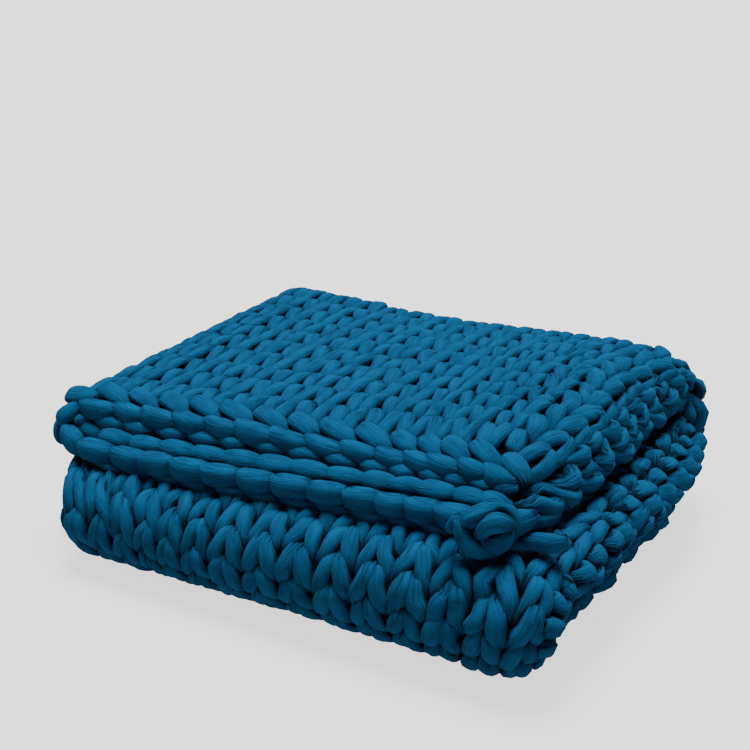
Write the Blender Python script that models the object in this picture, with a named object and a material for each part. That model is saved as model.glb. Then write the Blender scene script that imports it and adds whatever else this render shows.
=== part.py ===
"""Chunky hand-knit weighted blanket, folded for display.

The knit is one sheet. It is folded in half along its columns of stitches, with
the fold on the left and the two long edges on the right, and that double strip
lies back and forth in three layers: front edge, over the top, round the back
fold, forward, round the front fold, and back underneath.

X runs left to right, Y front to back, Z up, in metres.
"""

import math

import bmesh
import bpy

# the knit
WALE = 0.042  # width of one column of stitches
WALES_IN_PLY = 15  # columns from the left fold to the long edge
PLY = 0.032  # thickness of the knit
RIB_DEPTH = 0.0055  # valley between two columns
LEG_DEPTH = 0.003  # valley between the two legs of a column

# how it lies
SLOT = 0.0035  # air between the two plies
LAYER_GAP = 0.003  # air between two layers
FRONT_FOLD_Y = 0.015  # centre of the front fold
BACK_FOLD_Y = 0.425  # centre of the back fold
UPPER_EDGE_Y = (0.046, 0.070)  # front edge of the upper ply, left and right
LOWER_EDGE_Y = (0.018, 0.030)  # front edge of the lower ply, left and right
LAST_EDGE_Y = 0.452  # rear edge of the bottom layer
MOUTH = 0.003  # how much each ply thins towards the open front edge
MOUTH_REACH = 0.10  # how far in from the edge the mouth closes
MOUTH_RIGHT_SHUT = 0.6  # how much of the mouth is shut again at the right

# the ends of the strip across its width
LEFT_ROUND_X = 0.006  # where the left fold starts to round
RIGHT_ROUND_X = 0.533  # where the long edges start to curl
LEFT_REACH = 0.034  # from there out to the left fold's far side
RIGHT_REACH = 0.063  # from there out to the curled edges' far side
SQUARE = 2.3  # 2 would be a round fold, more is a squarer one
LIP = 0.12  # angle at which the curl stops short of the middle
SLOT_END_X = LEFT_ROUND_X + 0.004  # how far left the air between the plies reaches

# how the heap has settled
LOW_SIDE = 0.83  # height at the left fold over height at the right
PRESSED = 0.2  # how much more the lower layers are pressed than the top one
RIGHT_BELLY = 0.038  # how far the right side swells at its fullest
CORNER_TUCK = 0.018  # how far the bulge's lower right corner stands in
TOP_TUCK = 0.024  # how far the top's front right corner stands in
LEFT_TUCK = 0.048  # how far the lower layers stand in at the left fold
BACK_SKEW = 0.060  # how much further back the left end of the heap reaches
BACK_DROOP = 0.065  # how much lower the heap is above the back fold
SWELL = 0.05  # unevenness of the top, as a share of the height
SWELL_TURNS = (5, 9)  # radians of it to a metre along X and Y
BELLY_POWER = 1.8  # above 1 the belly is fullest behind the middle
BELLY_EASED = 0.4  # how much less the belly swells in the top layer

# spans over which these come in: where one starts, and over what length
BELLY_X, BELLY_RISE, BELLY_EASE = (0.38, 0.2), (0.0, 0.4), (0.7, 0.3)
TOP_TUCK_HEIGHT, TOP_TUCK_Y = (0.55, 0.3), (0.06, 0.2)
CORNER_TUCK_HEIGHT, CORNER_TUCK_Y = (0.0, 0.5), (0.02, 0.2)
LEFT_TUCK_X, LEFT_TUCK_HEIGHT = (0.0, 0.25), (0.45, 0.3)
DROOP_X, DROOP_Y, SKEW_Y = (0.0, 0.3), (0.28, 0.2), (0.0, 0.46)
MOUTH_LEFT_X, MOUTH_RIGHT_X = (0.0, 0.16), (0.42, 0.16)
RIB_FADE = (0.62, 0.3)  # share of the front fold over which the ribs fade out

HALF = PLY + SLOT / 2  # half the thickness of the double strip
LAYER = 2 * HALF + LAYER_GAP  # from one layer to the next
LEVELS = (2 * LAYER + HALF, LAYER + HALF, HALF)  # middles of the layers, top first
TALL = LEVELS[0] + HALF
BACK_CENTRE_Z = (LEVELS[0] + LEVELS[1]) / 2
FRONT_CENTRE_Z = (LEVELS[1] + LEVELS[2]) / 2
FRONT_REACH_Y = FRONT_FOLD_Y - LAYER / 2 - HALF
BACK_REACH_Y = BACK_FOLD_Y + LAYER / 2 + HALF
WIDTH = RIGHT_ROUND_X + RIGHT_REACH

# steps of the mesh
RIB_STEPS = 4  # points to a column
FLAT_STEPS = 4
FOLD_STEPS = 9
END_STEPS = ((0.0, 0.76), (0.004, 0.94), (0.012, 1.0))  # in from the edge, thickness
SLOT_COLUMNS = (15.0, 13.0, 10.0, 7.0, 4.0, 1.0, 0.3)
BLUE = (0.006, 0.135, 0.305, 1.0)


def smooth(t):
    t = min(max(t, 0.0), 1.0)
    return t * t * (3 - 2 * t)


def come_in(value, span):
    return smooth((value - span[0]) / span[1])


def mix(pair, t):
    return pair[0] + (pair[1] - pair[0]) * t


def settle(x, y, z):
    """Where a point of the straight, level heap ends up in the settled one."""
    side = smooth(x / WIDTH)
    depth = min(max((y - FRONT_REACH_Y) / (BACK_REACH_Y - FRONT_REACH_Y), 0.0), 1.0)
    height = z / TALL
    pressed = height * (1 - PRESSED * (1 - height))
    level = LOW_SIDE + (1 - LOW_SIDE) * side
    swell = math.sin(SWELL_TURNS[1] * y + SWELL_TURNS[0] * x)
    level *= 1 + SWELL * swell * side * (1 - side)
    level *= 1 - BACK_DROOP * come_in(y, DROOP_Y) * come_in(x, DROOP_X)
    right = come_in(x, BELLY_X)
    left = 1 - come_in(x, LEFT_TUCK_X)
    full = come_in(height, BELLY_RISE) * (1 - BELLY_EASED * come_in(height, BELLY_EASE))
    belly = RIGHT_BELLY * math.sin(math.pi * depth**BELLY_POWER) * full
    tuck = TOP_TUCK * come_in(height, TOP_TUCK_HEIGHT) * (1 - come_in(y, TOP_TUCK_Y))
    low = 1 - come_in(height, CORNER_TUCK_HEIGHT)
    tuck += CORNER_TUCK * low * (1 - come_in(y, CORNER_TUCK_Y))
    inwards = LEFT_TUCK * (1 - come_in(height, LEFT_TUCK_HEIGHT))
    back = BACK_SKEW * (1 - side) * come_in(y, SKEW_Y)
    return x + right * (belly - tuck) + left * inwards, y + back, pressed * level * TALL


def turn(angle):
    """A point of a squarish half turn of radius 1: outwards and upwards."""
    s, c = math.sin(angle), math.cos(angle)
    size = (abs(s) ** SQUARE + abs(c) ** SQUARE) ** (1 / SQUARE)
    return s / size, c / size


def across(u):
    """The outer face u columns from the left fold.

    Gives x, the height above the strip's middle, and how far the face leans
    outwards, from -1 at the left fold to 1 at the long edge.
    """
    left_columns = LEFT_ROUND_X / WALE + 0.5
    right_columns = RIGHT_ROUND_X / WALE + 0.5
    if u < left_columns:
        out, up = turn(math.pi / 2 * (1 - u / left_columns))
        return LEFT_ROUND_X - LEFT_REACH * out, HALF * up, -out
    if u > right_columns:
        share = (u - right_columns) / (WALES_IN_PLY - right_columns)
        out, up = turn((math.pi / 2 - LIP) * share)
        lean = out * HALF / math.hypot(out * HALF, up * RIGHT_REACH)
        return RIGHT_ROUND_X + RIGHT_REACH * out, HALF * up, lean
    return (u - 0.5) * WALE, HALF, 0.0


def rib(u):
    """Depth of the knit's face below its crests, u columns from the left fold."""
    part = round(u % 1.0, 3)
    if part == 0:
        return RIB_DEPTH if u < WALES_IN_PLY else 0.0
    return LEG_DEPTH if part == 0.5 else 0.0


def lengthwise_steps():
    """Stations along the strip: which stretch, where on it, and how thick."""
    steps = [("top", inwards, thick) for inwards, thick in END_STEPS]
    steps += [("top over", k / FLAT_STEPS, 1.0) for k in range(1, FLAT_STEPS + 1)]
    steps += [("back fold", k / FOLD_STEPS, 1.0) for k in range(1, FOLD_STEPS)]
    steps += [("middle", k / FLAT_STEPS, 1.0) for k in range(FLAT_STEPS + 1)]
    steps += [("front fold", k / FOLD_STEPS, 1.0) for k in range(1, FOLD_STEPS)]
    steps += [("bottom", k / FLAT_STEPS, 1.0) for k in range(FLAT_STEPS + 1)]
    steps += [("rear end", inwards, thick) for inwards, thick in END_STEPS[1::-1]]
    return steps


def place(stretch, at, x, n):
    """Height n above the strip's middle at x becomes y and z of the folded strip.

    n is positive on the ply that is uppermost in the top layer.
    """
    side = smooth(x / WIDTH)
    upper = smooth(n / HALF / 2 + 0.5)
    start = mix((mix(LOWER_EDGE_Y, side), mix(UPPER_EDGE_Y, side)), upper)
    rim = END_STEPS[-1][0]
    if stretch == "top":
        return start + at, LEVELS[0] + n
    if stretch == "top over":
        return mix((start + rim, BACK_FOLD_Y), at), LEVELS[0] + n
    if stretch == "back fold":
        out, up = turn(math.pi * at)
        radius = LAYER / 2 + n
        return BACK_FOLD_Y + radius * out, BACK_CENTRE_Z + radius * up
    if stretch == "middle":
        return mix((BACK_FOLD_Y, FRONT_FOLD_Y), at), LEVELS[1] - n
    if stretch == "front fold":
        out, up = turn(math.pi * at)
        radius = LAYER / 2 - n
        return FRONT_FOLD_Y - radius * out, FRONT_CENTRE_Z + radius * up
    if stretch == "bottom":
        return mix((FRONT_FOLD_Y, LAST_EDGE_Y - rim), at), LEVELS[2] + n
    return LAST_EDGE_Y - at, LEVELS[2] + n


def half_slot(stretch, at, x):
    """Half the air between the plies, which is wider at the open front edge."""
    inwards = {"top": at, "top over": END_STEPS[-1][0] + at * BACK_FOLD_Y}
    if stretch not in inwards:
        return SLOT / 2
    near = 1 - smooth(inwards[stretch] / MOUTH_REACH)
    wide = come_in(x, MOUTH_LEFT_X) * (1 - MOUTH_RIGHT_SHUT * come_in(x, MOUTH_RIGHT_X))
    return SLOT / 2 + MOUTH * near * wide


def rib_share(stretch, at):
    """How much of the ribs is left on the ply that ends up underneath."""
    if stretch == "front fold":
        return 1 - come_in(at, RIB_FADE)
    return 0.0 if stretch in ("bottom", "rear end") else 1.0


def station(stretch, at, thick):
    """One closed loop of points round the double strip."""
    columns = [k / RIB_STEPS for k in range(WALES_IN_PLY * RIB_STEPS, -1, -1)]
    outer = [(u, 1) for u in columns] + [(u, -1) for u in reversed(columns[:-1])]
    inner = [(u, -1) for u in SLOT_COLUMNS] + [(u, 1) for u in reversed(SLOT_COLUMNS)]
    flat = []
    for u, ply in outer:
        x, up, lean = across(u)
        depth = rib(u) * (1.0 if ply > 0 else rib_share(stretch, at))
        middle = (up + SLOT / 2) / 2 * smooth(u)
        n = middle + (up - depth * math.sqrt(1 - lean * lean) - middle) * thick
        flat.append((x - depth * lean, ply * n))
    for u, ply in inner:
        x, up, _ = across(min(u, WALES_IN_PLY - 1))
        x = max(x, SLOT_END_X)
        gap = half_slot(stretch, at, x)
        n = gap + (up + gap) / 2 * (1 - thick) * smooth(u)
        flat.append((x, ply * n))
    points = []
    for x, n in flat:
        y, z = place(stretch, at, x, n)
        points.append(settle(x, y, z))
    return points


def dyed_cotton():
    """Matte jersey tube, dyed in the yarn."""
    material = bpy.data.materials.new("blue cotton jersey")
    material.use_nodes = True
    shader = material.node_tree.nodes["Principled BSDF"]
    shader.inputs["Base Color"].default_value = BLUE
    shader.inputs["Roughness"].default_value = 0.85
    shader.inputs["Metallic"].default_value = 0.0
    return material


def knit_blanket():
    """The whole folded blanket, one closed body, centred on the origin."""
    loops = [station(*step) for step in lengthwise_steps()]
    every = [p for loop in loops for p in loop]
    middle = [(min(p[i] for p in every) + max(p[i] for p in every)) / 2 for i in (0, 1)]
    bm = bmesh.new()
    rings = []
    for loop in loops:
        ring = [bm.verts.new((x - middle[0], y - middle[1], z)) for x, y, z in loop]
        rings.append(ring)
    count = len(rings[0])
    for a, b in zip(rings, rings[1:]):
        for k in range(count):
            m = (k + 1) % count
            bm.faces.new((a[k], a[m], b[m], b[k]))
    bm.faces.new(list(reversed(rings[0])))
    bm.faces.new(rings[-1])
    bmesh.ops.triangulate(bm, faces=bm.faces[:], ngon_method="EAR_CLIP")
    bmesh.ops.recalc_face_normals(bm, faces=bm.faces[:])
    mesh = bpy.data.meshes.new("knit_blanket")
    bm.to_mesh(mesh)
    bm.free()
    for polygon in mesh.polygons:
        polygon.use_smooth = True
    mesh.set_sharp_from_angle(angle=math.radians(50))
    mesh.materials.append(dyed_cotton())
    blanket = bpy.data.objects.new("knit_blanket", mesh)
    bpy.context.scene.collection.objects.link(blanket)
    return blanket


for old in list(bpy.data.objects):
    bpy.data.objects.remove(old, do_unlink=True)
knit_blanket()
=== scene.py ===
"""A chunky hand-knit weighted blanket, folded: every stitch of it as filled yarn.

Lengths are in metres. Z is up, and the heap's front is towards -Y.
"""

import math

import bpy
import numpy as np
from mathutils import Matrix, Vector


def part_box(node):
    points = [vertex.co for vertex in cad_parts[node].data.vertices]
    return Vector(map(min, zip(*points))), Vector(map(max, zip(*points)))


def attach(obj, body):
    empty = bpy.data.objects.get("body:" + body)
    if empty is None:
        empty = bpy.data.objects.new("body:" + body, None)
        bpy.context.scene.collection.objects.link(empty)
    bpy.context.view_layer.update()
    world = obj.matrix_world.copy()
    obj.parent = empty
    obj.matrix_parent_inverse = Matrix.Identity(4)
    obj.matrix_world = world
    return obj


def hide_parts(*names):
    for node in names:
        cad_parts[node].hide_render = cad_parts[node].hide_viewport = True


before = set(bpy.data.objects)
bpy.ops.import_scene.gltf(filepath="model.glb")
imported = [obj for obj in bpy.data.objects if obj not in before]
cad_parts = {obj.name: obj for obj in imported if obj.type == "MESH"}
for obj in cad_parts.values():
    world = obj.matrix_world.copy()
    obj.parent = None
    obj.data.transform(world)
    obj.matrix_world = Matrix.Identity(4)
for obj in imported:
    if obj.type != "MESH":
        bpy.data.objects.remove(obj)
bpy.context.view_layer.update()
bpy.ops.object.select_all(action="DESELECT")

# ---------------------------------------------------------------- the knit
# One sheet of stocking stitch, knitted by hand from one very thick yarn, a tube of cotton
# jersey with a soft, heavy filling. It is doubled along its columns, with that fold on the
# left and the long edges on the right, and lies back and forth in three layers.
WALE = 0.042  # width of one column of stitches
ROW = 0.0386  # height of one course of stitches
COLUMNS = 15  # columns in each ply, with one more along the lengthwise fold
ROWS = 38  # courses from the front edge to the far edge

# how it is folded
PLY = 0.032  # thickness of the knit
SLOT = 0.0035  # air between the two plies
LAYER_GAP = 0.003  # air between two layers
FRONT_FOLD_Y = 0.015  # centre of the front fold
BACK_FOLD_Y = 0.425  # centre of the back fold
UPPER_EDGE_Y = (0.046, 0.060)  # front edge of the upper ply, left and right
LOWER_EDGE_Y = (0.018, 0.030)  # front edge of the lower ply, left and right
EDGES_PART = 4  # columns round the lengthwise fold over which those two edges part
LEFT_ROUND_X = 0.006  # where the left fold starts to round
LEFT_REACH = 0.034  # from there out to the left fold's far side
RIGHT_ROUND_X = 0.533  # where the long edges start to curl
RIGHT_REACH = 0.063  # from there out to the curled edges' far side
INNER_SHORT = 0.020  # how much less far the inner faces reach there
SQUARE = 2.3  # 2 would be a round fold, more is a squarer one
LIP = 0.12  # angle at which the curl stops short of the middle
HALF_TURN = 3.25  # length of such a squarish half turn of radius 1
UPPER_FOLDS = (1.7, 0.95)  # the upper ply's way round the back and front folds
LOWER_FOLDS = (0.55, 2.1)  # the lower ply's; both over the way of the strip's middle
PLIES_PART = 5  # columns from the lengthwise fold over which those ways part
PRESSED_FROM_Y = BACK_FOLD_Y + 0.05  # from here on the long edges are pressed flat
PRESSED_EDGE, PRESSED_POWER = 0.65, 4  # how much thinner they are then, and how late
RIM_REACH = 0.07  # how far in from the front edge the upper ply is drawn together
RIM_THIN, RIM_THIN_U = 0.3, (4, 4)  # how much thinner it is there, and in which columns
CORNER_IN, CORNER_U = 0.004, (12, 3)  # how far its right corner stands in, likewise

HALF = PLY + SLOT / 2  # half the thickness of the double strip
LAYER = 2 * HALF + LAYER_GAP  # from one layer to the next
LEVELS = (2 * LAYER + HALF, LAYER + HALF, HALF)  # middles of the layers, top first
TALL = LEVELS[0] + HALF
BACK_CENTRE_Z = (LEVELS[0] + LEVELS[1]) / 2
FRONT_CENTRE_Z = (LEVELS[1] + LEVELS[2]) / 2
FRONT_REACH_Y = FRONT_FOLD_Y - LAYER / 2 - HALF
BACK_REACH_Y = BACK_FOLD_Y + LAYER / 2 + HALF
WIDTH = RIGHT_ROUND_X + RIGHT_REACH
LEFT_COLUMNS = LEFT_ROUND_X / WALE + 0.5  # columns in the round of the left fold
RIGHT_COLUMNS = RIGHT_ROUND_X / WALE + 0.5  # columns up to where the long edges curl
FOLD = HALF_TURN * LAYER / 2  # length of the strip's middle round one fold
STRAIGHT = BACK_FOLD_Y - FRONT_FOLD_Y  # and between the folds
MIDDLE_START = BACK_FOLD_Y + FOLD  # the middle layer's start, along the strip's middle
MIDDLE_END = MIDDLE_START + STRAIGHT
BOTTOM_START = MIDDLE_END + FOLD

# how the heap has settled: how much, and then where each of these comes in
LOW_SIDE = 0.83  # height at the left fold over height at the right
PRESSED = 0.2  # how much more the lower layers are pressed than the top one
SWELL = 0.05  # unevenness of the top, as a share of the height
SWELL_TURNS = (5, 9)  # radians of it to a metre along X and Y
BACK_DROOP = 0.065  # how much lower the heap is above the back fold
BACK_SKEW = 0.060  # how much further back the left end of the heap reaches
BELLY = 0.033  # how far the right side swells at its fullest
BELLY_POWER = 1.8  # above 1 the belly is fullest behind the middle
BELLY_BACK = 0.008  # how much less the belly swells at the back
BELLY_EASED = 1.5  # how much less it swells in the top layer, where it draws in
TOP_TUCK = 0.024  # how far the top's front right corner stands in
CORNER_TUCK = 0.018  # how far the bulge's lower right corner stands in
UNDER_TUCK = 0.022  # how far the right side stands in underneath
LEFT_TUCK = 0.048  # how far the lower layers stand in at the left fold
LEAN = 0.022  # how far the right side leans in at the top
LEAN_EASED = 0.7  # how much less it leans near the back
ROLLED = 0.012  # how far the bulge is rolled in underneath
DROOP_X, DROOP_Y, SKEW_Y = (0.0, 0.3), (0.28, 0.2), (0.0, 0.46)
BELLY_X, BELLY_HEIGHT, TOP_HEIGHT = (0.38, 0.2), (0.0, 0.4), (0.48, 0.45)
TOP_TUCK_HEIGHT, TOP_TUCK_Y = (0.55, 0.3), (0.06, 0.2)
CORNER_TUCK_HEIGHT, CORNER_TUCK_Y = (0.0, 0.5), (0.02, 0.2)
UNDER_TUCK_HEIGHT, UNDER_TUCK_Y = (0.0, 0.55), (-0.07, 0.14)
LEFT_TUCK_HEIGHT, LEFT_TUCK_X = (0.45, 0.3), (0.0, 0.25)
LEAN_X, LEAN_Y = (0.34, 0.2), (0.32, 0.12)
ROLLED_HEIGHT, ROLLED_Y = (0.0, 0.4), (-0.07, 0.2)


def smooth(t):
    """0 up to t = 0, 1 from t = 1, and a soft rise between them."""
    t = np.clip(t, 0.0, 1.0)
    return t * t * (3 - 2 * t)


def come_in(value, span):
    """The same rise from span[0] on, over a length of span[1]."""
    return smooth((value - span[0]) / span[1])


def mix(pair, t):
    return pair[0] + (pair[1] - pair[0]) * t


def turn(angle):
    """A point of a squarish half turn of radius 1: outwards and upwards."""
    s, c = np.sin(angle), np.cos(angle)
    size = (np.abs(s) ** SQUARE + np.abs(c) ** SQUARE) ** (1 / SQUARE)
    return s / size, c / size


def settle(x, y, z):
    """Where a point of the straight, level heap ends up in the settled one."""
    side = smooth(x / WIDTH)
    depth = np.clip((y - FRONT_REACH_Y) / (BACK_REACH_Y - FRONT_REACH_Y), 0.0, 1.0)
    height = z / TALL
    pressed = height * (1 - PRESSED * (1 - height))
    swell = np.sin(SWELL_TURNS[1] * y + SWELL_TURNS[0] * x)
    level = LOW_SIDE + (1 - LOW_SIDE) * side
    level = level * (1 + SWELL * swell * side * (1 - side))
    level = level * (1 - BACK_DROOP * come_in(y, DROOP_Y) * come_in(x, DROOP_X))
    high = come_in(height, TOP_HEIGHT)
    full = come_in(height, BELLY_HEIGHT) * (1 - BELLY_EASED * high)
    belly = (BELLY * np.sin(math.pi * depth**BELLY_POWER) - BELLY_BACK * depth**2) * full
    tuck = TOP_TUCK * come_in(height, TOP_TUCK_HEIGHT) * (1 - come_in(y, TOP_TUCK_Y))
    low = 1 - come_in(height, CORNER_TUCK_HEIGHT)
    tuck = tuck + CORNER_TUCK * low * (1 - come_in(y, CORNER_TUCK_Y))
    tuck = tuck + UNDER_TUCK * (1 - come_in(height, UNDER_TUCK_HEIGHT)) * come_in(y, UNDER_TUCK_Y)
    lean = LEAN * high * come_in(x, LEAN_X) * (1 - LEAN_EASED * come_in(y, LEAN_Y))
    left = LEFT_TUCK * (1 - come_in(height, LEFT_TUCK_HEIGHT)) * (1 - come_in(x, LEFT_TUCK_X))
    back = BACK_SKEW * (1 - side) * come_in(y, SKEW_Y)
    rolled = ROLLED * (1 - come_in(height, ROLLED_HEIGHT)) * (1 - come_in(y, ROLLED_Y))
    x = x + come_in(x, BELLY_X) * (belly - tuck) - lean + left
    return x, y + back + rolled, pressed * level * TALL


def across(u):
    """The outer face u columns from the left fold: x, and height over the strip's middle."""
    out_l, up_l = turn(math.pi / 2 * (1 - np.minimum(u, LEFT_COLUMNS) / LEFT_COLUMNS))
    share = np.maximum(u - RIGHT_COLUMNS, 0) / (COLUMNS - RIGHT_COLUMNS)
    out_r, up_r = turn((math.pi / 2 - LIP) * share)
    x = np.where(u < LEFT_COLUMNS, LEFT_ROUND_X - LEFT_REACH * out_l, (u - 0.5) * WALE)
    x = np.where(u > RIGHT_COLUMNS, RIGHT_ROUND_X + RIGHT_REACH * out_r, x)
    return x, HALF * np.where(u < LEFT_COLUMNS, up_l, np.where(share > 0, up_r, 1.0))


def within(u):
    """The inner face u columns from the left fold, likewise."""
    near = np.clip(u / LEFT_COLUMNS, 0, 1)
    share = np.clip((u - RIGHT_COLUMNS) / (COLUMNS - RIGHT_COLUMNS), 0, 1.2)
    x = np.where(u < LEFT_COLUMNS, LEFT_ROUND_X - SLOT / 2 * (1 - near), (u - 0.5) * WALE)
    x = np.where(share > 0, RIGHT_ROUND_X + (RIGHT_REACH - INNER_SHORT) * share, x)
    return x, SLOT / 2 * np.sqrt(near)


def edge(u):
    """How far back the front edge of the knit stands, u columns right of the fold."""
    side = smooth(across(np.abs(u))[0] / WIDTH)
    pair = (mix(LOWER_EDGE_Y, side), mix(UPPER_EDGE_Y, side))
    return mix(pair, smooth(u / EDGES_PART + 0.5))


def travel(length, folds):
    """Length along one ply turned into length along the middle of the strip."""
    ply = [0, BACK_FOLD_Y, folds[0] * FOLD, STRAIGHT, folds[1] * FOLD, 1.0]
    strip = [0, BACK_FOLD_Y, FOLD, STRAIGHT, FOLD, 1.0]
    out = np.interp(length, np.cumsum(ply), np.cumsum(strip))
    return np.where(length < 0, length, out)


def in_heap(u, v, w):
    """Where a point of the knit lies in the heap.

    u is columns right of the lengthwise fold, negative on the lower ply; v is metres
    from the front edge; w is 0 on the inner face and 1 on the outer face.
    """
    u, v, w = np.broadcast_arrays(*(np.asarray(a, float) for a in (u, v, w)))
    size = np.minimum(np.abs(u), COLUMNS)
    beyond = np.maximum(np.abs(u) - COLUMNS, 0) * WALE
    ply = np.where(u < 0, -1.0, 1.0)
    near_rim = np.where(u > 0, 1 - smooth(v / RIM_REACH), 0.0)
    w = w * (1 - RIM_THIN * near_rim * come_in(u, RIM_THIN_U))
    length = v + edge(u)

    # across the strip: x, and n over its middle
    x_out, n_out = across(size)
    x_in, n_in = within(size)
    pressed = (u < 0) | (length > PRESSED_FROM_Y)
    share = np.clip((size - RIGHT_COLUMNS) / (COLUMNS - RIGHT_COLUMNS), 0, 1)
    thinned = HALF * (1 - PRESSED_EDGE * share**PRESSED_POWER)
    n_out = np.where(pressed & (share > 0), thinned, n_out)
    x = x_in + (x_out - x_in) * w + beyond - CORNER_IN * near_rim * come_in(u, CORNER_U)
    n = ply * (n_in + (n_out - n_in) * w)

    # along the strip: the top layer, back fold, middle layer, front fold, bottom layer
    upper, lower = travel(length, UPPER_FOLDS), travel(length, LOWER_FOLDS)
    own = np.where(u < 0, lower, upper)
    s = mix(((upper + lower) / 2, own), smooth(size / PLIES_PART))
    out, up = turn(np.clip(math.pi * (s - BACK_FOLD_Y) / FOLD, 0, math.pi))
    radius = LAYER / 2 + n
    y = np.where(s < BACK_FOLD_Y, s, BACK_FOLD_Y + radius * out)
    z = np.where(s < BACK_FOLD_Y, LEVELS[0] + n, BACK_CENTRE_Z + radius * up)
    y = np.where(s >= MIDDLE_START, BACK_FOLD_Y - (s - MIDDLE_START), y)
    z = np.where(s >= MIDDLE_START, LEVELS[1] - n, z)
    out, up = turn(np.clip(math.pi * (s - MIDDLE_END) / FOLD, 0, math.pi))
    radius = LAYER / 2 - n
    y = np.where(s >= MIDDLE_END, FRONT_FOLD_Y - radius * out, y)
    z = np.where(s >= MIDDLE_END, FRONT_CENTRE_Z + radius * up, z)
    y = np.where(s >= BOTTOM_START, FRONT_FOLD_Y + (s - BOTTOM_START), y)
    z = np.where(s >= BOTTOM_START, LEVELS[2] + n, z)
    return np.stack(settle(x, y, z), -1)


# the heap's left fold and front fold meet the solid's left and front sides
solid_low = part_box("knit_blanket")[0]
all_the_way = np.linspace(0, 1.4, 400)
left_side = in_heap(0.0, all_the_way, 1.0)[:, 0].min()
front_side = in_heap(np.linspace(-COLUMNS, COLUMNS, 61)[:, None], all_the_way, 1.0)[..., 1].min()
HEAP_PLACE = np.array([solid_low[0] - left_side, solid_low[1] - front_side, 0])


def lie(u, v, w):
    """Where a point of the knit lies in the frame; u, v and w are those of in_heap."""
    return in_heap(u, v, w) + HEAP_PLACE


# the yarn: plump where it shows as a stitch's leg, pinched where it is drawn through
YARN = 0.0103  # radius of the relaxed yarn
SECTION = 2.8  # 2 would be a round yarn, more is a squarer one
SKIN_ROUND = 0.065  # how far round the yarn one turn of the jersey pattern goes
GATHERS = (5, 7)  # folds of the skin round the yarn, in two sets
GATHER_DEPTH, PINCHED_DEPTH = 0.028, 0.100  # depth where plump, and more where pinched
WAVER, WAVER_TURNS, TWIST = 2.25, 31, 40  # how the folds wander along the yarn
FLANK = (-0.15, 0.6)  # from where to where round the yarn the painted shade on its hidden flanks sets in
LEG_FLANK_SHADE = 0.65  # how dark the painted shade on the hidden flanks of a stitch's leg is
LOWEST = 0.0002  # the yarn's clearance over the floor


def spline(points, steps):
    """A smooth line through the points, with that many steps from each to the next."""
    before, after = 2 * points[:1] - points[1:2], 2 * points[-1:] - points[-2:-1]
    padded = np.concatenate([before, points, after])
    t = (np.arange(steps) / steps)[:, None, None]
    a, b, c, d = padded[:-3], padded[1:-2], padded[2:-1], padded[3:]
    curve = b + 0.5 * t * (c - a + t * (2 * a - 5 * b + 4 * c - d + t * (3 * (b - c) + d - a)))
    curve = curve.transpose(1, 0, 2).reshape(-1, points.shape[1])
    return np.concatenate([curve, points[-1:]])


def unit(vectors):
    return vectors / np.maximum(np.linalg.norm(vectors, axis=1, keepdims=True), 1e-9)


def yarn_tube(line, normal, wide, deep, pinch, sides, seed, flanks=LEG_FLANK_SHADE):
    """Rings of points round a line: the yarn's skin, with gathers where it is pinched."""
    ahead = unit(np.gradient(line, axis=0))
    sideways = unit(np.cross(ahead, normal))
    outwards = np.cross(sideways, ahead)
    angle = np.arange(sides) / sides * 2 * math.pi
    step = np.linalg.norm(np.diff(line, axis=0), axis=1)
    along = np.concatenate([[0], np.cumsum(step)])
    phase = np.random.default_rng(seed).uniform(0, 2 * math.pi, 3)
    waver = WAVER * np.sin(WAVER_TURNS * along + phase[2])[:, None]
    gather = 0.5 * np.cos(GATHERS[0] * angle + phase[0] + waver)
    gather = gather + 0.5 * np.cos(GATHERS[1] * angle + phase[1] + TWIST * along[:, None])
    full = (np.abs(np.cos(angle)) ** SECTION + np.abs(np.sin(angle)) ** SECTION) ** (-1 / SECTION)
    size = full * (1 + (GATHER_DEPTH + PINCHED_DEPTH * pinch[:, None]) * gather)
    rings = line[:, None] + (wide[:, None] * size * np.cos(angle))[..., None] * sideways[:, None]
    rings = rings + (deep[:, None] * size * np.sin(angle))[..., None] * outwards[:, None]
    # painted shade on the yarn's hidden flanks, handed on together with the pinch
    flank_shade = 1 - come_in(np.sin(angle), FLANK)
    return {"rings": rings, "along": along, "pinch": np.clip(pinch[:, None] + flanks * flank_shade, 0, 1)}


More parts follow.
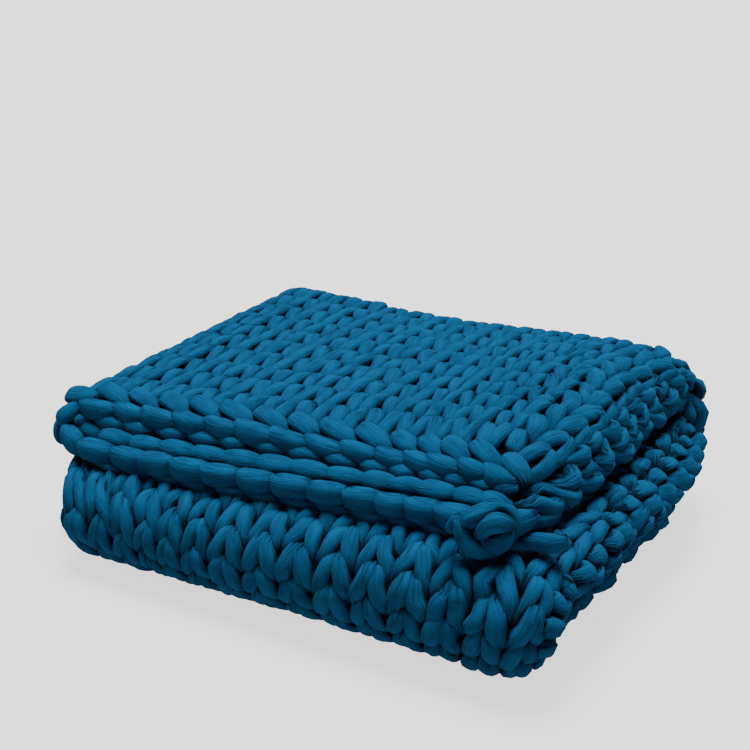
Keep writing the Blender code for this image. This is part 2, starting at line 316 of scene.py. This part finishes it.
def yarn_mesh(name, tubes):
    """One mesh of many tubes, with the yarn's own UV map and a pinch attribute, which also holds
    painted shade on the yarn's hidden flanks.
    """
    quads, caps, uvs, start = [], [], [], 0
    for tube in tubes:
        count, sides = tube["rings"].shape[:2]
        i = np.arange(count - 1)[:, None]
        k = np.arange(sides)[None]
        j, m = i + 1, (k + 1) % sides
        quad = np.stack([i * sides + k, i * sides + m, j * sides + m, j * sides + k], -1)
        quads.append(quad.reshape(-1, 4) + start)
        along = tube["along"][:, None] / SKIN_ROUND
        corner = np.zeros((count - 1, sides, 4, 2))
        corner[..., (0, 3), 0] = (k / sides)[..., None]
        corner[..., (1, 2), 0] = ((k + 1) / sides)[..., None]
        corner[..., (0, 1), 1] = along[:-1, :, None]
        corner[..., (2, 3), 1] = along[1:, :, None]
        uvs.append(corner.reshape(-1, 2))
        ends = (np.arange(sides)[::-1], (count - 1) * sides + np.arange(sides))
        caps += [start + end for end in ends]
        start += count * sides
    points = np.concatenate([tube["rings"].reshape(-1, 3) for tube in tubes])
    points[:, 2] = np.maximum(points[:, 2], LOWEST)
    quads = np.concatenate(quads)
    corners = np.concatenate([quads.ravel()] + caps).astype(np.int32)
    sizes = np.concatenate([np.full(len(quads), 4), [len(c) for c in caps]]).astype(np.int32)
    mesh = bpy.data.meshes.new(name)
    mesh.vertices.add(len(points))
    mesh.vertices.foreach_set("co", points.astype(np.float32).ravel())
    mesh.loops.add(len(corners))
    mesh.loops.foreach_set("vertex_index", corners)
    mesh.polygons.add(len(sizes))
    mesh.polygons.foreach_set("loop_start", (np.cumsum(sizes) - sizes).astype(np.int32))
    mesh.update(calc_edges=True)
    mesh.validate()
    uv = mesh.uv_layers.new(name="yarn")
    flat = np.zeros((len(corners), 2), np.float32)
    flat[: len(quads) * 4] = np.concatenate(uvs)
    uv.data.foreach_set("uv", flat.ravel())
    # the pinch attribute: how pinched the yarn is, plus the painted shade on its hidden flanks
    pinch = mesh.attributes.new("pinch", "FLOAT", "POINT")
    pinches = np.concatenate([tube["pinch"].ravel() for tube in tubes])
    pinch.data.foreach_set("value", pinches.astype(np.float32))
    mesh.polygons.foreach_set("use_smooth", np.ones(len(sizes), bool))
    piece = bpy.data.objects.new(name, mesh)
    bpy.context.scene.collection.objects.link(piece)
    return piece


# its skin: matte blue cotton jersey, finely ribbed along the yarn, wrinkled where it is
# gathered, with a little bloom on the fibres. Painted shade darkens its wrinkles, its
# pinched ends, its hidden flanks and where lengths of yarn touch
WRINKLES = (13, 1.5)  # scale of the noise round and along the yarn, likewise the next two
RIBS = (80, 3)
MOTTLING = (5, 2.5)
WRINKLE_WIDTH = 0.07  # how wide a wrinkle is, in the noise it follows
WRINKLED, PINCH_WRINKLED = 0.2, 0.8  # how strong where plump, and more where pinched
WRINKLE_SOFT = 0.25  # how strong the soft waves between wrinkles are besides
RIB_HEIGHT, RELIEF_DEPTH = 0.28, 0.0026  # ribs against waves, and the depth of it all
# how much the ribs lighten the colour, and how much painted shade darkens the wrinkles, the pinched
# ends and where lengths of yarn touch
RIB_SHADE, WRINKLE_SHADE, PINCH_SHADE, TOUCH_SHADE = 0.3, 0.7, 0.34, 0.55
TOUCH_REACH = 0.012  # how near another length of yarn is where the painted shade sets in
# the yarn's blue, from the deepest, where the painted shade is strongest, to full
DEEP_BLUE = (0.001, 0.010, 0.026)
MIDDLE_BLUE = (0.004, 0.040, 0.096)
FULL_BLUE = (0.006, 0.070, 0.164)
BLUE_STOPS = (0.0, 0.25, 0.75)
BLOOM = (0.25, 0.6, 0.95)


def math_node(nodes, links, operation, a, b):
    node = nodes.new("ShaderNodeMath")
    node.operation = operation
    for socket, value in zip(node.inputs, (a, b)):
        if isinstance(value, (int, float)):
            socket.default_value = value
        else:
            links.new(value, socket)
    return node.outputs[0]


def jersey_relief():
    """Shader group: ribs, wrinkles and mottling of the yarn's skin, and painted shade in its wrinkles
    and where it is pinched.
    """
    group = bpy.data.node_groups.new("jersey relief", "ShaderNodeTree")
    group.interface.new_socket("Ribs", in_out="INPUT", socket_type="NodeSocketFloat")
    group.interface.new_socket("Height", in_out="OUTPUT", socket_type="NodeSocketFloat")
    group.interface.new_socket("Shade", in_out="OUTPUT", socket_type="NodeSocketFloat")
    nodes, links = group.nodes, group.links
    given = nodes.new("NodeGroupInput")
    made = nodes.new("NodeGroupOutput")
    uv = nodes.new("ShaderNodeUVMap")
    uv.uv_map = "yarn"

    def stretched(scale, detail, bent=0.0):
        place = nodes.new("ShaderNodeMapping")
        place.inputs["Scale"].default_value = (*scale, 1)
        links.new(uv.outputs["UV"], place.inputs["Vector"])
        noise = nodes.new("ShaderNodeTexNoise")
        noise.noise_dimensions = "2D"
        noise.inputs["Scale"].default_value = 1.0
        noise.inputs["Detail"].default_value = detail
        noise.inputs["Distortion"].default_value = bent
        links.new(place.outputs["Vector"], noise.inputs["Vector"])
        return noise.outputs["Fac"]

    def maths(operation, a, b):
        return math_node(nodes, links, operation, a, b)

    pinch = nodes.new("ShaderNodeAttribute")
    pinch.attribute_name = "pinch"
    waves = stretched(WRINKLES, 1.5, bent=0.5)
    wrinkle = nodes.new("ShaderNodeMapRange")
    wrinkle.interpolation_type = "SMOOTHSTEP"
    wrinkle.inputs["From Max"].default_value = WRINKLE_WIDTH
    wrinkle.inputs["To Min"].default_value = 1.0
    wrinkle.inputs["To Max"].default_value = 0.0
    links.new(maths("ABSOLUTE", maths("SUBTRACT", waves, 0.5), 0), wrinkle.inputs["Value"])
    amount = maths("ADD", maths("MULTIPLY", pinch.outputs["Fac"], PINCH_WRINKLED), WRINKLED)
    wrinkled = maths("MULTIPLY", wrinkle.outputs[0], amount)
    ribs = stretched(RIBS, 1)
    fine = maths("MULTIPLY", ribs, given.outputs["Ribs"])
    soft = maths("MULTIPLY", waves, maths("ADD", amount, WRINKLE_SOFT))
    links.new(maths("SUBTRACT", maths("ADD", soft, fine), wrinkled), made.inputs["Height"])
    shade = maths("ADD", stretched(MOTTLING, 3), maths("MULTIPLY", ribs, RIB_SHADE))
    # painted shade: the colour is darker along the wrinkles
    shade = maths("SUBTRACT", shade, maths("MULTIPLY", wrinkled, WRINKLE_SHADE))
    # painted shade: darker where the yarn is pinched and, through the pinch attribute, on its hidden
    # flanks
    pinched = maths("MULTIPLY", maths("POWER", pinch.outputs["Fac"], 1.5), PINCH_SHADE)
    links.new(maths("SUBTRACT", shade, pinched), made.inputs["Shade"])
    return group


def dyed_jersey():
    material = bpy.data.materials.new("blue jersey")
    material.use_nodes = True
    nodes, links = material.node_tree.nodes, material.node_tree.links
    shader = nodes["Principled BSDF"]
    shader.inputs["Roughness"].default_value = 0.95
    shader.inputs["Specular IOR Level"].default_value = 0.03
    shader.inputs["Sheen Weight"].default_value = 0.03
    shader.inputs["Sheen Roughness"].default_value = 0.5
    shader.inputs["Sheen Tint"].default_value = (*BLOOM, 1)
    relief = nodes.new("ShaderNodeGroup")
    relief.node_tree = jersey_relief()
    relief.inputs["Ribs"].default_value = RIB_HEIGHT
    # painted shade: ambient occlusion darkens the colour where another length of yarn comes near
    near = nodes.new("ShaderNodeAmbientOcclusion")
    near.samples = 8
    near.inputs["Distance"].default_value = TOUCH_REACH
    touching = math_node(nodes, links, "SUBTRACT", 1.0, near.outputs["AO"])
    painted_touch_shade = math_node(nodes, links, "MULTIPLY", touching, TOUCH_SHADE)
    tone = nodes.new("ShaderNodeValToRGB")
    stops = tone.color_ramp.elements
    stops[0].position, stops[0].color = BLUE_STOPS[0], (*DEEP_BLUE, 1)
    stops[1].position, stops[1].color = BLUE_STOPS[2], (*FULL_BLUE, 1)
    stops.new(BLUE_STOPS[1]).color = (*MIDDLE_BLUE, 1)
    links.new(math_node(nodes, links, "SUBTRACT", relief.outputs["Shade"], painted_touch_shade), tone.inputs["Fac"])
    links.new(tone.outputs["Color"], shader.inputs["Base Color"])
    bump = nodes.new("ShaderNodeBump")
    bump.inputs["Strength"].default_value = 0.6
    bump.inputs["Distance"].default_value = RELIEF_DEPTH
    links.new(relief.outputs["Height"], bump.inputs["Height"])
    links.new(bump.outputs["Normal"], shader.inputs["Normal"])
    return material


# the stitches: a loop's foot comes up through the loop below, its legs stand in front as
# a V, and its head bends back behind the next loop's legs. From the middle between two
# columns to the middle of the loop's head:
# columns from the loop's middle, rows up from its foot, depth, thickness, pinch
HALF_STITCH = (
    (0.500, -0.06, 0.08, 0.62, 0.55, 0.7),
    (0.300, -0.12, 0.12, 0.64, 0.55, 1.0),
    (0.140, -0.08, 0.38, 0.66, 0.56, 1.0),
    (0.120, 0.08, 0.71, 0.86, 0.62, 0.9),
    (0.190, 0.34, 0.83, 1.00, 0.72, 0.3),
    (0.285, 0.68, 0.80, 1.00, 0.74, 0.1),
    (0.350, 1.02, 0.67, 0.92, 0.70, 0.2),
    (0.400, 1.32, 0.48, 0.74, 0.62, 0.6),
    (0.425, 1.56, 0.28, 0.54, 0.54, 0.95),
    (0.290, 1.70, 0.14, 0.48, 0.52, 1.0),
)
HEAD = (0.0, 1.76, 0.14, 0.55, 0.56, 0.8)
# round the front fold the loops are drawn out longer and rounder
DRAWN_HALF_STITCH = (
    (0.500, -0.12, 0.08, 0.56, 0.55, 0.7),
    (0.280, -0.16, 0.10, 0.50, 0.50, 1.0),
    (0.100, -0.12, 0.34, 0.50, 0.52, 1.0),
    (0.075, 0.05, 0.64, 0.68, 0.68, 0.8),
    (0.120, 0.30, 0.79, 0.84, 0.82, 0.3),
    (0.200, 0.62, 0.81, 0.88, 0.86, 0.1),
    (0.290, 0.96, 0.77, 0.84, 0.82, 0.1),
    (0.365, 1.28, 0.66, 0.68, 0.70, 0.5),
    (0.415, 1.54, 0.46, 0.48, 0.55, 0.95),
    (0.290, 1.72, 0.20, 0.45, 0.50, 1.0),
)
# at a long edge the yarn turns round the edge and back into the next course
SELVEDGE = (
    (0.56, -0.02, 0.12, 0.85, 0.80, 0.6),
    (0.74, 0.16, 0.34, 0.98, 0.92, 0.2),
    (0.76, 0.44, 0.62, 0.96, 0.90, 0.2),
    (0.64, 0.74, 0.74, 0.74, 0.74, 0.7),
    (0.50, 0.96, 0.50, 0.52, 0.56, 1.0),
)
TURNED_ROW = 19  # from this course on the loops point the other way
FOOT_AT, TURNED_FOOT_AT = 1.62, 0.15  # courses from a row's place back to its loops' feet
FIRST_HEAD, FIRST_HEAD_DEPTH = 1.42, 0.34  # the first course's heads lie under the chain
SCATTER = (0.020, 0.030, 0.025)  # how uneven the loops are, in columns, rows and depth
EDGE_SCATTER = (0.055, 0.080, 0.090)  # likewise where the yarn turns round a long edge
EDGE_TURN = 0.52  # columns from the last one's middle to where it starts to turn
LOOSE_FROM = (11, 3)  # columns from which on the loops are up to twice as uneven
THICKNESS_SCATTER, LEAN_SCATTER = 0.05, 0.03
FINE_SIDES, PLAIN_SIDES = 14, 6  # of the yarn where it shows, and where it doesn't
EDGE_BACK = (0.055, 0.025)  # about how far back the upper and lower front edges stand
SEEN_AT_SIDE, SEEN_AT_FOLD, SEEN_AT_EDGE = 13, 2, 2  # columns and rows that show at the rims
SEEN_OF_BULGE = 0.09  # how far from the front fold the bulge still shows
STEP_U, STEP_V, STEP_W = 0.2, 0.01, 0.1  # steps over which the knit's stretch is read
SPREAD_RANGE, PITCH_RANGE, PLY_RANGE = (0.8, 1.5), (0.6, 1.1), (0.75, 1.1)
CROWDING = -0.3  # how the yarn widens where the courses lie closer


def place_across(c):
    """Columns counted from the one on the fold, turned into u: that one is shared."""
    near = np.interp(c, (-COLUMNS - 0.5, -1.5, 1.5, COLUMNS + 0.5), (-COLUMNS, -1, 1, COLUMNS))
    return near + np.sign(c) * np.maximum(np.abs(c) - COLUMNS - 0.5, 0)


def stitch_points(row, column, rng):
    """The loop's points: u, v, w, wide, deep, pinch; left to right."""
    half = DRAWN_HALF_STITCH if row >= TURNED_ROW and column < 0 else HALF_STITCH
    left = [(-a, *rest) for a, *rest in half]
    right = [(a, *rest) for a, *rest in reversed(half[1:])]
    table = left + [HEAD] + right
    if column == -COLUMNS and row > 0:
        table = [(-a, *rest) for a, *rest in reversed(SELVEDGE)] + table[1:]
    if column == COLUMNS and row > 0:
        table = table + list(SELVEDGE)
    table = np.array(table)
    loose = 1 + come_in(abs(column), LOOSE_FROM)
    scatter = rng.normal(0, 1, (len(table), 3)) * SCATTER * loose
    turned = np.abs(column + table[:, 0]) > COLUMNS + EDGE_TURN
    scatter[turned] = rng.normal(0, 1, (turned.sum(), 3)) * EDGE_SCATTER
    scatter[0] = 0
    table[:, :3] += scatter
    table[:, 3:5] *= 1 + rng.normal(0, THICKNESS_SCATTER)
    table[:, 3] *= 1 + rng.normal(0, THICKNESS_SCATTER, len(table))
    lean = rng.normal(0, LEAN_SCATTER)
    if row == 0:
        sunk = np.maximum(table[:, 2], FIRST_HEAD_DEPTH)
        table[:, 2] = np.where(table[:, 1] > FIRST_HEAD - 0.12, sunk, table[:, 2])
        table[:, 1] = np.minimum(table[:, 1], FIRST_HEAD)
    rows = FOOT_AT - table[:, 1] if row < TURNED_ROW else TURNED_FOOT_AT + table[:, 1]
    points = np.empty_like(table)
    points[:, 0] = place_across(column + table[:, 0] + lean * (table[:, 1] - 0.5))
    points[:, 1] = (row + rows) * ROW
    points[:, 2:] = table[:, 2:]
    return points


def shows(row, column):
    """Whether a stitch can be seen, so that it is modelled finely."""
    middle = (row + 0.9) * ROW
    if abs(column) >= SEEN_AT_SIDE or abs(column) < SEEN_AT_FOLD:
        return True
    if column > 0:
        return travel(middle + EDGE_BACK[0], UPPER_FOLDS) < MIDDLE_START
    lower = travel(middle + EDGE_BACK[1], LOWER_FOLDS)
    return row < SEEN_AT_EDGE or MIDDLE_END - SEEN_OF_BULGE < lower < BOTTOM_START


def tube_of(points, steps, sides, seed):
    """The yarn through points of the flat knit, laid in the heap."""
    fine = spline(points, steps)
    u, v, w = fine[:, 0], fine[:, 1], fine[:, 2]
    normal = unit(lie(u, v, np.minimum(w, 1) + STEP_W) - lie(u, v, w - STEP_W))
    spread = np.linalg.norm(lie(u + STEP_U, v, w) - lie(u - STEP_U, v, w), axis=1) / (2 * STEP_U * WALE)
    pitch = np.linalg.norm(lie(u, v + STEP_V, w) - lie(u, v - STEP_V, w), axis=1) / (2 * STEP_V)
    thick = np.linalg.norm(lie(u, v, 1) - lie(u, v, 0), axis=1) / PLY
    wide = YARN * fine[:, 3] * np.clip(spread, *SPREAD_RANGE) * np.clip(pitch, *PITCH_RANGE) ** CROWDING
    deep = YARN * fine[:, 4] * np.clip(thick, *PLY_RANGE)
    return yarn_tube(lie(u, v, w), normal, wide, deep, fine[:, 5], sides, seed)


stitch_rng = np.random.default_rng(7)
courses = {}
for row in range(ROWS):
    for column in range(-COLUMNS, COLUMNS + 1):
        courses[row, column] = stitch_points(row, column, stitch_rng)


def runs_of(row):
    """The course split where fine stitches change to plain ones."""
    runs, first = [], -COLUMNS
    for column in range(-COLUMNS, COLUMNS + 1):
        last = column == COLUMNS
        if last or shows(row, column) != shows(row, column + 1):
            runs.append((first, column, shows(row, column)))
            first = column + 1
    return runs


def filled_yarn(piece):
    """What every piece of the blanket is: dyed yarn that shows instead of the solid."""
    piece.data.materials.append(jersey)
    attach(piece, "root")
    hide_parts("knit_blanket")


def knit_rows(name, rows):
    tubes = []
    for row in rows:
        for first, last, fine in runs_of(row):
            points = [courses[row, c] for c in range(first, last + 1)]
            if last < COLUMNS:
                points.append(courses[row, last + 1][:1])
            steps, sides = (2, FINE_SIDES) if fine else (1, PLAIN_SIDES)
            seed = row * 100 + first + 50
            tubes.append(tube_of(np.concatenate(points), steps, sides, seed))
    filled_yarn(yarn_mesh(name, tubes))


jersey = dyed_jersey()
knit_rows("knit_top_front", range(0, 6))
knit_rows("knit_top_back", range(6, 12))
knit_rows("knit_back_fold", range(12, 19))
knit_rows("knit_middle", range(19, 24))
knit_rows("knit_front_fold", range(24, 30))
knit_rows("knit_bottom", range(30, ROWS))

# ---------------------------------------------------------------- the two end edges
# At the front the last course is cast off as a chain of the same yarn: flat lengths show
# on its face, round ones on its rim and bars on its inside. At the far edge the first
# course sits on one strand of cast-on yarn.
LENGTH = (
    # along, outwards, wide, deep, pinch; it starts full, over the thin end before it
    (-0.53, -0.95, 0.36, 0.36, 1.0),
    (-0.67, -0.34, 0.60, 0.60, 0.8),
    (-0.65, 0.28, 0.88, 0.88, 0.4),
    (-0.42, 0.60, 1.06, 1.04, 0.1),
    (-0.06, 0.52, 1.07, 1.06, 0.0),
    (0.23, 0.16, 0.93, 0.92, 0.2),
    (0.43, -0.34, 0.66, 0.68, 0.7),
    (0.49, -0.86, 0.38, 0.38, 1.0),
)
LENGTH_PITCH = 0.041  # from one length to the next round the lengthwise fold
LENGTH_SCATTER, PITCH_SCATTER = (0.02, 0.06), 0.03
# a strand's sides, and how dark the painted shade on its hidden flanks is
STRAND_SIDES, STRAND_FLANK_SHADE = 14, 0.3
SLOPE_STEPS = (-0.006, -0.15)  # back and up: the way along which a strand slants
ROUND_FOLD = 3  # columns over which its form on one ply goes over into the other's
FAR_EDGE = 1.492  # the far edge's place along the knit


def strand(name, upper, lower, seed):
    """One strand of an edge, from right to left along the lower ply and back on the upper.

    upper and lower say how it lies on each ply. first and last are the columns where its
    lengths start and end, back and height its place from the edge and in the ply, wide
    and deep its radii, and bulge_back and bulge_up the way it bulges. heading is the way
    its thin ends point, slant how far it slants, lift how far its lengths stand out, and
    least how full it stays between them.
    """
    rng = np.random.default_rng(seed)

    def at(key, u):
        sides = [side[key](np.abs(u)) if callable(side[key]) else side[key] for side in (lower, upper)]
        return mix(sides, smooth(u / ROUND_FOLD + 0.5))

    def place(u, back=0.0, up=0.0):
        return lie(u, at("back", u) + back, at("height", u) + up)

    round_fold = np.linspace(-lower["first"], upper["first"], 200)
    steps = np.linalg.norm(np.diff(place(round_fold), axis=0), axis=1)
    along = np.concatenate([[0], np.cumsum(steps)])
    turns = max(2, round(along[-1] / LENGTH_PITCH))
    lower_ply = -np.arange(lower["last"], lower["first"] - 0.01, -1.0)
    fold = np.interp(np.arange(1, turns) / turns * along[-1], along, round_fold)
    upper_ply = np.arange(upper["first"], upper["last"] + 0.01, 1.0)
    middles = np.concatenate([lower_ply, fold, upper_ply])
    middles = middles + rng.normal(0, PITCH_SCATTER, len(middles))
    centres = place(middles)
    outwards = unit(place(middles, at("bulge_back", middles), at("bulge_up", middles)) - centres)
    slope = unit(place(middles, *SLOPE_STEPS) - centres)
    pitch = np.gradient(centres, axis=0)
    wide, deep = at("wide", middles), at("deep", middles)
    points = []
    for k, middle in enumerate(middles):
        side = upper if middle > 0 else lower
        forwards = side["heading"] > 0
        table = np.array(LENGTH if forwards else [(-a, *rest) for a, *rest in reversed(LENGTH)])
        table[:, :2] += rng.normal(0, 1, (len(table), 2)) * LENGTH_SCATTER
        least = side.get("least", 0.0)
        table[:, 2:4] = np.maximum(table[:, 2:4], least)
        table[:, 4] *= 1 - least
        line = centres[k] + table[:, :1] * (pitch[k] + side["slant"] * slope[k])
        line = line + table[:, 1:2] * outwards[k] * wide[k] * side["lift"]
        normal = np.tile(outwards[k], (len(table), 1))
        size = 1 + rng.normal(0, THICKNESS_SCATTER)
        sizes = np.stack([table[:, 2] * wide[k] * size, table[:, 3] * deep[k] * size, table[:, 4]], 1)
        points.append(np.concatenate([line, normal, sizes], 1))
    fine = spline(np.concatenate(points), 3)
    radii = (fine[:, 6], fine[:, 7])
    tube = yarn_tube(fine[:, :3], fine[:, 3:6], *radii, fine[:, 8], STRAND_SIDES, seed, STRAND_FLANK_SHADE)
    filled_yarn(yarn_mesh(name, [tube]))


def fall(high, low, start, reach):
    """A height in the ply that falls from high to low towards the right corner."""
    return lambda u: high + (low - high) * smooth((u - start) / reach)


strand(
    "cast_off_face",
    dict(
        first=1.4, last=14.4, back=0.010, height=fall(0.78, 0.62, 7, 4), wide=0.0108, deep=0.0062,
        bulge_back=-0.004, bulge_up=0.25, heading=1, slant=0.016, lift=0.5,
    ),
    dict(
        first=1.6, last=14.6, back=-0.010, height=0.96, wide=0.0092, deep=0.0076,
        bulge_back=-0.008, bulge_up=0.12, heading=1, slant=0.006, lift=1.0,
    ),
    11,
)
strand(
    "cast_off_rim",
    dict(
        first=1.2, last=14.2, back=-0.004, height=fall(0.50, 0.31, 6, 4), wide=0.0106, deep=0.0102,
        bulge_back=-0.010, bulge_up=0.03, heading=1, slant=0.008, lift=0.9,
    ),
    dict(
        first=1.8, last=14.8, back=-0.008, height=0.52, wide=0.0120, deep=0.0112,
        bulge_back=-0.010, bulge_up=0.05, heading=-1, slant=0.004, lift=0.9,
    ),
    12,
)
strand(
    "cast_off_bars",
    dict(
        first=1.7, last=14.7, back=-0.007, height=fall(0.08, -0.12, 6, 4), wide=0.0104, deep=0.0096,
        bulge_back=-0.010, bulge_up=-0.05, heading=1, slant=0.006, lift=1.0,
    ),
    dict(
        first=1.1, last=14.1, back=0.003, height=0.18, wide=0.0100, deep=0.0084,
        bulge_back=-0.006, bulge_up=-0.2, heading=-1, slant=-0.004, lift=0.6, least=0.7,
    ),
    13,
)
cast_on = dict(
    first=1.4, last=14.4, back=FAR_EDGE, height=0.5, wide=0.0130, deep=0.0120,
    bulge_back=0.010, bulge_up=0.0, slant=0.0, lift=0.8,
)
strand("cast_on_edge", dict(cast_on, heading=1), dict(cast_on, heading=-1), 14)

# ---------------------------------------------------------------- the end knot
# Where the casting off ends, at the lower ply's right corner, the yarn goes once round
# itself and is tied in a tight ball, with its end tucked away inside.
KNOT_MIDDLE = (0.528, -0.004, 0.154)  # in the heap
KNOT_RIGHT = np.array((0.877, 0.480, 0.0))  # the knot faces the heap's front right
KNOT_FRONT = np.array((0.480, -0.877, 0.0))
KNOT_SIZE = 0.00087  # length of one unit of the points below
KNOT_TIGHT, KNOT_TURNS = (0.1, 0.3), 7  # how the yarn narrows, and how often
KNOT_THIN = (1.08, 0.35)  # thickness where loose, and how much less where tight
KNOT_SIDES = 20
KNOT = (
    # right, up, towards the front, radius
    (-44, -8, -14, 6.0),
    (-36, 8, -8, 7.0),
    (-33, -2, 0, 9.0),
    (-27, -14, 4, 10.0),
    (-13, -21, 6, 10.0),
    (3, -21, 4, 9.0),
    (15, -15, -1, 8.0),
    (23, -4, -4, 8.0),
    (24, 8, -6, 8.0),
    (18, 18, -8, 8.0),
    (6, 21, -9, 8.0),
    (-5, 20, -4, 9.0),
    (-15, 17, 1, 10.5),
    (-24, 12, 0, 10.5),
    (-26, 4, -5, 7.5),
    (-17, -3, -3, 6.5),
    (-12, -3, 4, 8.5),
    (-9, 6, 9, 10.0),
    (-1, 13, 12, 10.5),
    (8, 14, 12, 10.0),
    (16, 10, 9, 8.5),
    (18, 2, 7, 8.5),
    (12, -6, 11, 10.0),
    (4, -11, 12, 10.5),
    (-5, -10, 8, 8.5),
    (-7, -3, 4, 7.0),
    (0, 1, -4, 6.0),
)
knot_line = spline(np.array(KNOT) * KNOT_SIZE, 5)
tied = knot_line[:, :1] * KNOT_RIGHT + knot_line[:, 2:3] * KNOT_FRONT
tied[:, 2] += knot_line[:, 1]
tied = tied + np.array(KNOT_MIDDLE) + HEAP_PLACE
facing = np.tile(KNOT_FRONT, (len(tied), 1))
waves = np.sin(np.linspace(0, KNOT_TURNS * math.pi, len(tied))) ** 2
tightness = KNOT_TIGHT[0] + KNOT_TIGHT[1] * waves
thickness = knot_line[:, 3] * (KNOT_THIN[0] - KNOT_THIN[1] * tightness)
knot_tube = yarn_tube(tied, facing, thickness, thickness, tightness, KNOT_SIDES, seed=5)
filled_yarn(yarn_mesh("end_knot", [knot_tube]))

# ---------------------------------------------------------------- the floor
# A plain pale sweep of paper that the blanket lies on. It is brighter to the camera than
# to the blanket, so that it stays pale and the creases stay dark.
FLOOR_SIZE = 60
PAPER = (0.25, 0.25, 0.25)
PAPER_GLOW = (0.45, 1.5)  # to the blanket, and to the camera
bpy.ops.object.select_all(action="DESELECT")
bpy.ops.mesh.primitive_plane_add(size=FLOOR_SIZE, location=(0, 0, 0))
floor = bpy.context.object
floor.name = "floor"
paper = bpy.data.materials.new("pale paper")
paper.use_nodes = True
paper_nodes, paper_links = paper.node_tree.nodes, paper.node_tree.links
paper_shader = paper_nodes["Principled BSDF"]
paper_shader.inputs["Base Color"].default_value = (*PAPER, 1)
paper_shader.inputs["Emission Color"].default_value = (1, 1, 1, 1)
paper_shader.inputs["Roughness"].default_value = 0.9
paper_seen = paper_nodes.new("ShaderNodeLightPath")
glow = paper_nodes.new("ShaderNodeMapRange")
glow.inputs["To Min"].default_value, glow.inputs["To Max"].default_value = PAPER_GLOW
paper_links.new(paper_seen.outputs["Is Camera Ray"], glow.inputs["Value"])
paper_links.new(glow.outputs["Result"], paper_shader.inputs["Emission Strength"])
floor.data.materials.append(paper)

# ---------------------------------------------------------------- camera and lights
# A camera close to the heap's front right corner and a little above it, and soft
# daylight: a wide sun almost overhead and a pale sky all round.
CAMERA_AT = (22.12, -22.93, 16.88)  # in columns from the heap's own corner
CAMERA_DOWN, CAMERA_LEFT = math.radians(21.2), math.radians(28.7)
FRAME_WIDTH, FOCAL_LENGTH = 750, 1250  # in pixels
SENSOR_WIDTH = 36
SKY = (0.19, 2.15)  # to the blanket, and to the camera
SUN_ENERGY, SUN_WIDTH = 7.6, math.radians(32)
SUN_TILT = (math.radians(-10), math.radians(-4), 0)
bpy.ops.object.camera_add(location=[WALE * a + b for a, b in zip(CAMERA_AT, HEAP_PLACE)])
camera = bpy.context.object
camera.rotation_euler = (math.pi / 2 - CAMERA_DOWN, 0, CAMERA_LEFT)
camera.data.sensor_width = SENSOR_WIDTH
camera.data.lens = SENSOR_WIDTH * FOCAL_LENGTH / FRAME_WIDTH
bpy.context.scene.camera = camera

daylight = bpy.data.worlds.new("daylight")
daylight.use_nodes = True
sky_nodes, sky_links = daylight.node_tree.nodes, daylight.node_tree.links
sky_nodes["Background"].inputs["Color"].default_value = (1, 1, 1, 1)
sky_seen = sky_nodes.new("ShaderNodeLightPath")
sky = sky_nodes.new("ShaderNodeMapRange")
sky.inputs["To Min"].default_value, sky.inputs["To Max"].default_value = SKY
sky_links.new(sky_seen.outputs["Is Camera Ray"], sky.inputs["Value"])
sky_links.new(sky.outputs["Result"], sky_nodes["Background"].inputs["Strength"])
bpy.context.scene.world = daylight
bpy.ops.object.light_add(type="SUN", location=(0.3, 0.4, 2.0))
overhead = bpy.context.object
overhead.name = "overhead"
overhead.data.energy = SUN_ENERGY
overhead.data.angle = SUN_WIDTH
overhead.rotation_euler = SUN_TILT
